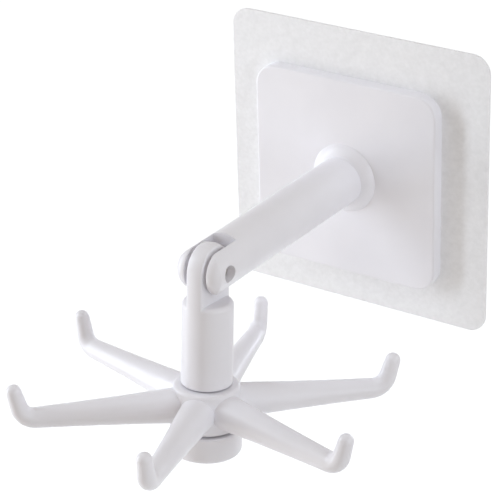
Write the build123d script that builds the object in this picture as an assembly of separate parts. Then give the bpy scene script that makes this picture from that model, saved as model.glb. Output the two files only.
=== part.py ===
from build123d import *
import os
from math import cos, radians, sin

# Rotating hook rack: a wall plate on an adhesive film carries a fixed round arm.
# A post folds on a pin in the arm's forked end, and a six-hook rotor spins on the post's spindle.
# Millimetres. X runs along the wall, Y into it, Z up.
# The origin is on the arm's axis, in the wall plane at the back of the film.

# Adhesive film
film_side = 100.0
film_thickness = 0.8
film_corner = 6.5
film_shift_x = 2.8
film_shift_z = 2.2

# Wall plate, with the rounded flange that the arm stands on
plate_side = 70.5
plate_thickness = 4.5
plate_corner = 7.5
plate_edge = 0.7
flange_radius = 12.2
flange_length = 2.8
flange_ledge = 0.1
flange_bulge = 0.55

# Arm, its square spigot and its forked end
arm_radius = 8.45
hinge_reach = 86.6
spigot_side = 9.6
spigot_corner = 1.2
spigot_web = 1.6
spigot_clearance = 0.1
cheek_drop = 0.95
cheek_edge = 4.2
cheek_overhang = 0.3
slot_side_clearance = 1.4
slot_root_clearance = 0.8
slot_edge = 0.3

# Hinge pin, fixed in the cheeks and turning in the tongue
pin_radius = 2.8
pin_recess = 2.8
pin_chamfer = 0.4
pin_hold_clearance = 0.02
pin_running_clearance = 0.08

# Post: tongue, round body and spindle
rest_swing = 4.5
post_radius = 8.4
tongue_thickness = 5.8
tongue_edge = 0.7
boss_radius = 5.0
boss_side_clearance = 0.1
shoulder_drop = 10.8
shoulder_edge = 1.6
post_length = 28.5
post_foot_edge = 0.4
spindle_radius = 5.0
spindle_running_clearance = 0.08

# Hook rotor
rotor_gap = 0.5
hub_radius = 10.9
hub_height = 14.1
hub_top_edge = 1.2
hub_foot_edge = 0.5
hook_count = 6
hook_phase = 12.6
hook_drop = 7.0
hook_root_radius = 5.8
hook_waist_radius = 4.6
hook_waist_reach = 30.0
hook_elbow_radius = 3.4
hook_tip_radius = 2.55
hook_run = 55.4
elbow_bend = 5.5
tip_lean = 16.0
tip_length = 5.7

# Sections that shape each hook's elbow
BEND_STEPS = 4

# End cap
cap_gap = 0.7
cap_radius = 11.8
cap_height = 9.0
cap_edge = 1.8
cap_rim_edge = 0.4
cap_socket_depth = 2.6
cap_socket_clearance = 0.1

# Screws: one holds the arm to the plate from behind, one holds the cap to the spindle
arm_screw_radius = 2.0
arm_screw_length = 16.0
cap_screw_radius = 1.6
cap_screw_length = 13.0
screw_head_ratio = 1.9
screw_head_height_ratio = 1.1
screw_head_round_ratio = 0.6
screw_end_chamfer_ratio = 0.5
screw_clearance = 0.05
screw_head_clearance = 0.3
screw_head_sink = 0.3
screw_cross_ratio = 0.28
screw_cross_depth_ratio = 0.7

# How far a cutting shape runs past the surface that it opens
cut_margin = 1.0

# Places worked out from the sizes above
plate_back = -film_thickness
plate_front = plate_back - plate_thickness
flange_front = plate_front - flange_length
hinge_y = -hinge_reach
tongue_half = tongue_thickness / 2
slot_half = tongue_half + slot_side_clearance
slot_root = post_radius + slot_root_clearance
cheek_radius = arm_radius - cheek_drop
tongue_root = -shoulder_drop - 2 * shoulder_edge
post_foot = -shoulder_drop - post_length
hub_top = post_foot - rotor_gap
hub_foot = hub_top - hub_height
cap_top = hub_foot - cap_gap
cap_foot = cap_top - cap_height
spindle_end = cap_top - cap_socket_depth
hook_level = hub_top - hook_drop
hub_bore_radius = spindle_radius + spindle_running_clearance

# Directions along the arm, out from the wall, and across it
ALONG_Y = Rot(90, 0, 0)
ALONG_X = Rot(0, 90, 0)

# A round piece that stands on the origin
STANDING = (Align.CENTER, Align.CENTER, Align.MIN)


def rod(radius, start, end):
    """Round bar along Y between two places on the arm's axis, start nearer the wall."""
    return Pos(0, start, 0) * ALONG_Y * extrude(Circle(radius), start - end)


def pin_bar(radius, half_length):
    """Round bar along X, centred."""
    return ALONG_X * Cylinder(radius, 2 * half_length)


def screw(radius, length):
    """Pan-head screw along +Z, with the underside of its head at the origin and a cross recess."""
    head_radius = radius * screw_head_ratio
    head_height = radius * screw_head_height_ratio
    head = extrude(Circle(head_radius), -head_height)
    head = fillet(head.edges().group_by(Axis.Z)[0], head_height * screw_head_round_ratio)
    shank = extrude(Circle(radius), length)
    shank = chamfer(shank.edges().group_by(Axis.Z)[-1], radius * screw_end_chamfer_ratio)
    arm_width = radius * screw_cross_ratio * 2
    cross = Rectangle(2 * radius, arm_width) + Rectangle(arm_width, 2 * radius)
    recess = Pos(0, 0, -head_height) * extrude(cross, radius * screw_cross_depth_ratio)
    return head + shank - recess


def screw_hole(radius, depth):
    """Hole along +Z from the origin that takes a screw's shank."""
    return extrude(Circle(radius + screw_clearance), depth)


def screw_pocket(radius):
    """Pocket along -Z from the origin for a screw's head, sunk below the surface."""
    return extrude(Circle(radius * screw_head_ratio + screw_head_clearance), -screw_pocket_depth(radius))


def screw_pocket_depth(radius):
    return radius * screw_head_height_ratio + screw_head_sink


def make_film():
    outline = RectangleRounded(film_side, film_side, film_corner)
    return Pos(film_shift_x, 0, film_shift_z) * ALONG_Y * extrude(outline, film_thickness)


# Seat of the arm screw's head inside the plate
arm_screw_seat = plate_back - screw_pocket_depth(arm_screw_radius)
spigot_end = arm_screw_seat - spigot_web
spigot_length = spigot_end - flange_front


def make_plate():
    plate = extrude(RectangleRounded(plate_side, plate_side, plate_corner), plate_thickness)
    plate = fillet(plate.edges().group_by(Axis.Z)[-1], plate_edge)
    plate = Pos(0, plate_back, 0) * ALONG_Y * plate
    plate += Pos(0, plate_front, 0) * make_flange()
    socket_side = spigot_side + 2 * spigot_clearance
    socket = RectangleRounded(socket_side, socket_side, spigot_corner)
    socket = Pos(0, spigot_end, 0) * ALONG_Y * extrude(socket, spigot_length)
    hole = Pos(0, arm_screw_seat, 0) * ALONG_Y * screw_hole(arm_screw_radius, arm_screw_length)
    pocket = Pos(0, arm_screw_seat, 0) * ALONG_Y * screw_pocket(arm_screw_radius)
    return plate - socket - hole - pocket


def make_flange():
    """Collar along -Y from the origin, with a bulging side that ends at the arm."""
    foot = (flange_radius, 0)
    rim = (arm_radius + flange_ledge, -flange_length)
    side = SagittaArc(foot, rim, flange_bulge)
    profile = side + Polyline(rim, (0, -flange_length), (0, 0), foot)
    return revolve(make_face(profile), Axis.Y)


def make_arm():
    bar = rod(arm_radius, flange_front, hinge_y)
    # Rounded end of the fork: a disc about the pin, with a large round on its outer rims
    disc = pin_bar(cheek_radius, arm_radius + cheek_overhang)
    disc = fillet(disc.edges().filter_by(GeomType.CIRCLE), cheek_edge)
    end = rod(arm_radius, hinge_y + arm_radius, hinge_y - arm_radius) & (Pos(0, hinge_y, 0) * disc)
    # Slot for the tongue, open above, below and to the front
    slot_length = slot_root + arm_radius + cut_margin
    slot_height = 2 * (arm_radius + cut_margin)
    slot = Pos(0, slot_root - slot_length / 2, 0) * Box(2 * slot_half, slot_length, slot_height)
    fork = bar + end - Pos(0, hinge_y, 0) * slot
    fork = chamfer(slot_rims(fork), slot_edge)
    cross_hole = Pos(0, hinge_y, 0) * pin_bar(pin_radius + pin_hold_clearance, arm_radius + cut_margin)
    # Square spigot that stops the arm turning in the plate
    spigot = extrude(RectangleRounded(spigot_side, spigot_side, spigot_corner), spigot_length)
    spigot = Pos(0, spigot_end, 0) * ALONG_Y * spigot
    screw_bore = Pos(0, arm_screw_seat, 0) * ALONG_Y * screw_hole(arm_screw_radius, arm_screw_length)
    return fork + spigot - cross_hole - screw_bore


def slot_rims(fork):
    """Straight edges where the slot opens through the top and the underside of the arm."""
    return fork.edges().filter_by(Axis.Y).filter_by_position(Axis.X, -slot_half, slot_half)


def make_arm_screw():
    return Pos(0, arm_screw_seat, 0) * ALONG_Y * screw(arm_screw_radius, arm_screw_length)


def make_hinge_pin():
    pin = pin_bar(pin_radius, arm_radius - pin_recess)
    return Pos(0, hinge_y, 0) * chamfer(pin.edges().filter_by(GeomType.CIRCLE), pin_chamfer)


# Pieces below are modelled hanging straight down from the hinge, then swung to their rest place
def swung(piece):
    return Pos(0, hinge_y, 0) * Rot(-rest_swing, 0, 0) * piece


def upright(radius, top, foot):
    """Round bar along Z between two heights."""
    return Pos(0, 0, foot) * extrude(Circle(radius), top - foot)


# Seat of the cap screw's head inside the cap
cap_screw_seat = cap_foot + screw_pocket_depth(cap_screw_radius)


def make_post():
    body = upright(post_radius, -shoulder_drop, post_foot)
    body = fillet(body.edges().group_by(Axis.Z)[-1], shoulder_edge)
    body = chamfer(body.edges().group_by(Axis.Z)[0], post_foot_edge)
    neck = upright(post_radius, 0, tongue_root) + Sphere(post_radius)
    tongue = neck & Box(tongue_thickness, 2 * post_radius, -2 * tongue_root)
    tongue = fillet(tongue_rims(tongue), tongue_edge)
    # Bosses about the pin that keep the tongue in the middle of the slot
    tongue += pin_bar(boss_radius, slot_half - boss_side_clearance)
    bore = pin_bar(pin_radius + pin_running_clearance, slot_half)
    spindle = upright(spindle_radius, post_foot, spindle_end)
    hole = Pos(0, 0, cap_screw_seat) * screw_hole(cap_screw_radius, cap_screw_length)
    return swung(body + tongue - bore + spindle - hole)


def tongue_rims(tongue):
    """Edges of the tongue's two flat sides, apart from those at its root."""
    across = tongue.edges().group_by(Axis.X)
    sides = across[0] + across[-1]
    return sides.filter_by_position(Axis.Z, tongue_root, post_radius, inclusive=(False, True))


def make_hook():
    """One hook in the XZ plane, running out along +X at height zero from inside the hub's wall."""
    start = (hub_bore_radius + hub_radius) / 2
    root = (hub_radius, hook_root_radius)
    elbow = (hook_run, hook_elbow_radius)
    flare = ThreePointArc(root, (hook_waist_reach, hook_waist_radius), elbow)
    rest = Polyline(elbow, (hook_run, 0), (start, 0), (start, hook_root_radius), root)
    run = revolve(make_face(flare + rest), Axis.X)
    # Turned-up end: round sections along the bend, then the leaning tip with its round end
    turn = 90.0 - tip_lean
    bend_length = elbow_bend * radians(turn)
    taper = (hook_tip_radius - hook_elbow_radius) / (bend_length + tip_length)
    sections = []
    for step in range(BEND_STEPS + 1):
        angle = turn * step / BEND_STEPS
        radius = hook_elbow_radius + taper * elbow_bend * radians(angle)
        place = Pos(*bend_point(angle)) * Rot(0, 90 - angle, 0)
        sections.append(place * Circle(radius))
    tip = Cone(radius, hook_tip_radius, tip_length, align=STANDING)
    tip += Pos(0, 0, tip_length) * Sphere(hook_tip_radius, arc_size1=0, align=STANDING)
    return run + loft(sections) + place * tip


def bend_point(angle):
    """Place on the elbow's centre line, in the hook's own plane."""
    return hook_run + elbow_bend * sin(radians(angle)), 0, elbow_bend * (1 - cos(radians(angle)))


def make_rotor():
    hub = upright(hub_radius, hub_top, hub_foot)
    hub = fillet(hub.edges().group_by(Axis.Z)[-1], hub_top_edge)
    hub = fillet(hub.edges().group_by(Axis.Z)[0], hub_foot_edge)
    hook = make_hook()
    for index in range(hook_count):
        # Turning from +X towards the front, away from the wall
        angle = -hook_phase - 360.0 / hook_count * index
        hub += Pos(0, 0, hook_level) * Rot(0, 0, angle) * hook
    return swung(hub - upright(hub_bore_radius, hub_top, hub_foot))


def make_cap():
    cap = upright(cap_radius, cap_top, cap_foot)
    cap = fillet(cap.edges().group_by(Axis.Z)[0], cap_edge)
    cap = chamfer(cap.edges().group_by(Axis.Z)[-1], cap_rim_edge)
    socket = upright(spindle_radius + cap_socket_clearance, cap_top, spindle_end)
    hole = Pos(0, 0, cap_screw_seat) * screw_hole(cap_screw_radius, cap_screw_length)
    pocket = Pos(0, 0, cap_screw_seat) * screw_pocket(cap_screw_radius)
    return swung(cap - socket - hole - pocket)


def make_cap_screw():
    return swung(Pos(0, 0, cap_screw_seat) * screw(cap_screw_radius, cap_screw_length))


parts = {
    "adhesive_film": make_film(),
    "base_plate": make_plate(),
    "arm": make_arm(),
    "arm_screw": make_arm_screw(),
    "hinge_pin": make_hinge_pin(),
    "post": make_post(),
    "hook_rotor": make_rotor(),
    "end_cap": make_cap(),
    "cap_screw": make_cap_screw(),
}

os.makedirs("parts", exist_ok=True)
for name, piece in parts.items():
    export_step(piece, f"parts/{name}.step")
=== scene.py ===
import math

import bpy
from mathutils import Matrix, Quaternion, Vector


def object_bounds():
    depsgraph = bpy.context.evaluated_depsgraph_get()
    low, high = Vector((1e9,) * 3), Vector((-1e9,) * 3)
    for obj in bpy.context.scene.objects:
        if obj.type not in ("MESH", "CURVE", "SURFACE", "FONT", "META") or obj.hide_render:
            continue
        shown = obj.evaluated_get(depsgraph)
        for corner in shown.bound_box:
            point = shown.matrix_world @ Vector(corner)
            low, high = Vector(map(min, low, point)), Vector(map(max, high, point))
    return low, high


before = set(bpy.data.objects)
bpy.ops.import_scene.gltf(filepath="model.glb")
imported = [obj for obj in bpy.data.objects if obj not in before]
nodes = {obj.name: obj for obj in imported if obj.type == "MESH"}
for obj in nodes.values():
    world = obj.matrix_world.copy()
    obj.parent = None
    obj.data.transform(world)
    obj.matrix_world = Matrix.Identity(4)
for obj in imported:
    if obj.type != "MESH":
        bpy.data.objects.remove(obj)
cad_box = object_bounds()

# Camera: where the photograph was taken from, in degrees and metres, and its image in pixels
CAMERA_AZIMUTH = 34.45
CAMERA_ELEVATION = 25.67
CAMERA_ROLL = -1.56
CAMERA_PLACE = (0.38579, -0.62547, 0.32441)
FOCAL_PIXELS = 2344.8
IMAGE_PIXELS = 500
SENSOR_MM = 36.0

# Floor: its drop below the object and its side in metres, and how it looks
FLOOR_DROP = 0.60
FLOOR_SIDE = 8.0
FLOOR_COLOUR = (0.86, 0.86, 0.86, 1.0)
FLOOR_ROUGHNESS = 0.9
FLOOR_GLOW = 0.84
GLOW_COLOUR = (0.88, 0.94, 1.0, 1.0)

# World: the light that it gives, and the background that is seen
AMBIENT = 0.32
AMBIENT_COLOUR = (1.0, 0.84, 0.68, 1.0)
BACKGROUND = 1.0
BACKGROUND_COLOUR = (1.0, 1.0, 1.0, 1.0)

# Colours of the lamps
COOL = (0.83, 0.91, 1.0)
WARM = (1.0, 0.92, 0.84)

# Colours of the plastic, the film and the steel
PLASTIC_PALE = (0.885, 0.876, 0.912, 1.0)
PLASTIC_DEEP = (0.855, 0.846, 0.884, 1.0)
FILM_PALE = (0.950, 0.954, 0.970, 1.0)
FILM_DEEP = (0.900, 0.904, 0.918, 1.0)
STEEL_PALE = (0.60, 0.60, 0.61, 1.0)
STEEL_DEEP = (0.42, 0.42, 0.44, 1.0)
PIN_PALE = (0.62, 0.58, 0.55, 1.0)
PIN_DEEP = (0.36, 0.335, 0.315, 1.0)

# Gloss of the plastic, the film and the steel
PLASTIC_SPECULAR = 0.42
FILM_SPECULAR = 0.4
STEEL_ROUGHNESS = 0.28
PIN_ROUGHNESS = 0.45
STEEL_ROUGHNESS_SPREAD = 0.17

# Most values of a noise lie between these two
NOISE_LOW = 0.3
NOISE_HIGH = 0.7

# Scales of a noise along X, Y and Z, per metre: marks run along the axis whose scale is the smallest
PLATE_STREAKS = (700.0, 60.0, 14.0)
PIN_MARKS = (300.0, 3000.0, 3000.0)
ARM_SCREW_MARKS = (3000.0, 300.0, 3000.0)
CAP_SCREW_MARKS = (3000.0, 3000.0, 300.0)


class Material:
    """A node material with a Principled shader, and short calls that add and join nodes."""

    def __init__(self, name):
        self.material = bpy.data.materials.new(name)
        self.material.use_nodes = True
        self.tree = self.material.node_tree
        self.shader = self.tree.nodes["Principled BSDF"]
        coordinates = self.tree.nodes.new("ShaderNodeTexCoord")
        self.place = coordinates.outputs["Object"]

    def stretched(self, scale):
        """The surface's place, scaled differently along X, Y and Z."""
        mapping = self.tree.nodes.new("ShaderNodeMapping")
        mapping.inputs["Scale"].default_value = scale
        self.tree.links.new(self.place, mapping.inputs["Vector"])
        return mapping.outputs["Vector"]

    def noise(self, scale, detail, place=None):
        """Noise over the surface, with scale spots to the metre."""
        node = self.tree.nodes.new("ShaderNodeTexNoise")
        node.inputs["Scale"].default_value = scale
        node.inputs["Detail"].default_value = detail
        self.tree.links.new(place or self.place, node.inputs["Vector"])
        return node.outputs["Fac"]

    def ramp(self, value, low, high, start, end):
        """Colours from start to end as value goes from low to high."""
        node = self.tree.nodes.new("ShaderNodeValToRGB")
        first, last = node.color_ramp.elements
        first.position, first.color = low, start
        last.position, last.color = high, end
        self.tree.links.new(value, node.inputs["Fac"])
        return node.outputs["Color"]

    def spread(self, value, low, high):
        """A number between low and high that follows a noise value."""
        node = self.tree.nodes.new("ShaderNodeMapRange")
        node.inputs["From Min"].default_value = NOISE_LOW
        node.inputs["From Max"].default_value = NOISE_HIGH
        node.inputs["To Min"].default_value = low
        node.inputs["To Max"].default_value = high
        self.tree.links.new(value, node.inputs["Value"])
        return node.outputs["Result"]

    def bump(self, height, strength, distance, below=None):
        """A normal that follows a height, up to a distance in metres, on top of the normal below."""
        node = self.tree.nodes.new("ShaderNodeBump")
        node.inputs["Strength"].default_value = strength
        node.inputs["Distance"].default_value = distance
        self.tree.links.new(height, node.inputs["Height"])
        if below:
            self.tree.links.new(below, node.inputs["Normal"])
        return node.outputs["Normal"]

    def set(self, socket, value):
        """Joins a node's output to the shader, or sets the socket itself to a constant."""
        if isinstance(value, bpy.types.NodeSocket):
            self.tree.links.new(value, self.shader.inputs[socket])
        else:
            self.shader.inputs[socket].default_value = value


def white_plastic(name, streaks=None):
    """Satin moulded plastic: faint cloudiness, a soft ripple, fine moulded grain and, if asked, streaks."""
    m = Material(name)
    clouds = m.noise(scale=45.0, detail=3.0)
    m.set("Base Color", m.ramp(clouds, low=0.35, high=0.68, start=PLASTIC_DEEP, end=PLASTIC_PALE))
    m.set("Roughness", m.spread(m.noise(scale=160.0, detail=3.0), low=0.32, high=0.42))
    m.set("Specular IOR Level", PLASTIC_SPECULAR)
    ripple = m.noise(scale=70.0, detail=1.0)
    normal = m.bump(ripple, strength=0.10, distance=0.0004)
    grain = m.noise(scale=2600.0, detail=2.0)
    normal = m.bump(grain, strength=0.06, distance=0.00006, below=normal)
    if streaks:
        lines = m.noise(scale=1.0, detail=2.0, place=m.stretched(streaks))
        normal = m.bump(lines, strength=0.12, distance=0.00015, below=normal)
    m.set("Normal", normal)
    return m.material


def frosted_film(name):
    """Frosted adhesive film: mottled, wavy and a little see-through."""
    m = Material(name)
    mottle = m.noise(scale=800.0, detail=4.0)
    m.set("Base Color", m.ramp(mottle, low=0.32, high=0.68, start=FILM_DEEP, end=FILM_PALE))
    m.set("Roughness", m.spread(m.noise(scale=900.0, detail=2.0), low=0.35, high=0.50))
    m.set("Alpha", m.spread(m.noise(scale=300.0, detail=3.0), low=0.94, high=0.98))
    m.set("Specular IOR Level", FILM_SPECULAR)
    waves = m.noise(scale=40.0, detail=1.0)
    normal = m.bump(waves, strength=0.15, distance=0.0005)
    m.set("Normal", m.bump(mottle, strength=0.10, distance=0.0002, below=normal))
    return m.material


def brushed_steel(name, marks, deep=STEEL_DEEP, pale=STEEL_PALE, roughness=STEEL_ROUGHNESS):
    """Plated steel with fine marks along its length."""
    m = Material(name)
    lines = m.noise(scale=1.0, detail=3.0, place=m.stretched(marks))
    m.set("Base Color", m.ramp(lines, low=NOISE_LOW, high=NOISE_HIGH, start=deep, end=pale))
    m.set("Metallic", 1.0)
    m.set("Roughness", m.spread(lines, low=roughness, high=roughness + STEEL_ROUGHNESS_SPREAD))
    m.set("Normal", m.bump(lines, strength=0.15, distance=0.00005))
    return m.material


def dress(node, material):
    """Gives a CAD node one material all over."""
    slots = nodes[node].data.materials
    slots.clear()
    slots.append(material)


def seen_rays(tree):
    """1 for rays that show the background: straight, in gloss, or through clear things."""
    path = tree.nodes.new("ShaderNodeLightPath")
    total = path.outputs["Is Camera Ray"]
    for kind in ("Is Glossy Ray", "Is Transmission Ray"):
        node = tree.nodes.new("ShaderNodeMath")
        node.operation = "MAXIMUM"
        tree.links.new(total, node.inputs[0])
        tree.links.new(path.outputs[kind], node.inputs[1])
        total = node.outputs[0]
    return total


def floor_material():
    """Pale floor whose lit colour is lifted to white where it is seen, so that shadows still show."""
    material = bpy.data.materials.new("floor")
    material.use_nodes = True
    tree = material.node_tree
    shader = tree.nodes["Principled BSDF"]
    shader.inputs["Base Color"].default_value = FLOOR_COLOUR
    shader.inputs["Roughness"].default_value = FLOOR_ROUGHNESS
    shader.inputs["Emission Color"].default_value = GLOW_COLOUR
    glow = tree.nodes.new("ShaderNodeMath")
    glow.operation = "MULTIPLY"
    glow.inputs[1].default_value = FLOOR_GLOW
    tree.links.new(seen_rays(tree), glow.inputs[0])
    tree.links.new(glow.outputs[0], shader.inputs["Emission Strength"])
    return material


def make_floor():
    half = FLOOR_SIDE / 2
    level = cad_box[0].z - FLOOR_DROP
    mesh = bpy.data.meshes.new("floor")
    corners = [(-half, -half, level), (half, -half, level), (half, half, level), (-half, half, level)]
    mesh.from_pydata(corners, [], [(0, 1, 2, 3)])
    mesh.materials.append(floor_material())
    floor = bpy.data.objects.new("floor", mesh)
    bpy.context.scene.collection.objects.link(floor)


def make_world():
    """Even light all round, and a white background where it is seen."""
    world = bpy.data.worlds.new("studio")
    bpy.context.scene.world = world
    world.use_nodes = True
    tree = world.node_tree
    ambient = tree.nodes["Background"]
    ambient.inputs["Color"].default_value = AMBIENT_COLOUR
    ambient.inputs["Strength"].default_value = AMBIENT
    white = tree.nodes.new("ShaderNodeBackground")
    white.inputs["Color"].default_value = BACKGROUND_COLOUR
    white.inputs["Strength"].default_value = BACKGROUND
    mix = tree.nodes.new("ShaderNodeMixShader")
    tree.links.new(seen_rays(tree), mix.inputs["Fac"])
    tree.links.new(ambient.outputs[0], mix.inputs[1])
    tree.links.new(white.outputs[0], mix.inputs[2])
    tree.links.new(mix.outputs[0], tree.nodes["World Output"].inputs["Surface"])


def direction(azimuth, elevation):
    """Unit vector from the object to a lamp or camera, in degrees. Azimuth 0 is in front, 90 right."""
    a = math.radians(azimuth)
    e = math.radians(elevation)
    return Vector((math.sin(a) * math.cos(e), -math.cos(a) * math.cos(e), math.sin(e)))


def facing(back):
    """Turn of a lamp or camera that looks against the vector back, with its top up."""
    return (-back).to_track_quat("-Z", "Y")


def put(name, data, location, turn):
    """A new object of the scene at a location, turned by a quaternion."""
    thing = bpy.data.objects.new(name, data)
    thing.location = location
    thing.rotation_mode = "QUATERNION"
    thing.rotation_quaternion = turn
    bpy.context.scene.collection.objects.link(thing)
    return thing


def soft_box(name, azimuth, elevation, distance, width, height, watts, colour):
    """Flat lamp that faces the object's middle, with its distance and size in metres."""
    light = bpy.data.lights.new(name, "AREA")
    light.shape = "RECTANGLE"
    light.size = width
    light.size_y = height
    light.energy = watts
    light.color = colour
    centre = (cad_box[0] + cad_box[1]) / 2
    back = direction(azimuth, elevation)
    put(name, light, centre + back * distance, facing(back))


def make_camera():
    data = bpy.data.cameras.new("camera")
    data.sensor_width = SENSOR_MM
    data.lens = FOCAL_PIXELS / IMAGE_PIXELS * SENSOR_MM
    roll = Quaternion((0.0, 0.0, 1.0), math.radians(CAMERA_ROLL))
    turn = facing(direction(CAMERA_AZIMUTH, CAMERA_ELEVATION)) @ roll
    bpy.context.scene.camera = put("camera", data, CAMERA_PLACE, turn)


plastic = white_plastic("white_plastic")
plate_plastic = white_plastic("plate_plastic", PLATE_STREAKS)
for name in ("arm", "post", "hook_rotor", "end_cap"):
    dress(name, plastic)
dress("base_plate", plate_plastic)
dress("adhesive_film", frosted_film("frosted_film"))
dress("hinge_pin", brushed_steel("pin_steel", PIN_MARKS, PIN_DEEP, PIN_PALE, PIN_ROUGHNESS))
dress("arm_screw", brushed_steel("arm_screw_steel", ARM_SCREW_MARKS))
dress("cap_screw", brushed_steel("cap_screw_steel", CAP_SCREW_MARKS))

make_floor()
make_world()
soft_box("key", azimuth=-68, elevation=8, distance=1.0, width=0.15, height=1.1, watts=8.5, colour=COOL)
soft_box("fill", azimuth=72, elevation=8, distance=1.0, width=0.6, height=0.6, watts=2.9, colour=COOL)
soft_box("rim", azimuth=100, elevation=30, distance=1.0, width=0.6, height=0.6, watts=1.6, colour=COOL)
soft_box("top", azimuth=0, elevation=80, distance=1.0, width=0.8, height=0.8, watts=2.3, colour=COOL)
soft_box("low", azimuth=-45, elevation=-20, distance=0.8, width=0.5, height=0.5, watts=0.9, colour=WARM)
soft_box("back", azimuth=180, elevation=4, distance=1.0, width=0.6, height=0.6, watts=4.5, colour=COOL)
make_camera()
bpy.context.scene.view_settings.view_transform = "Standard"
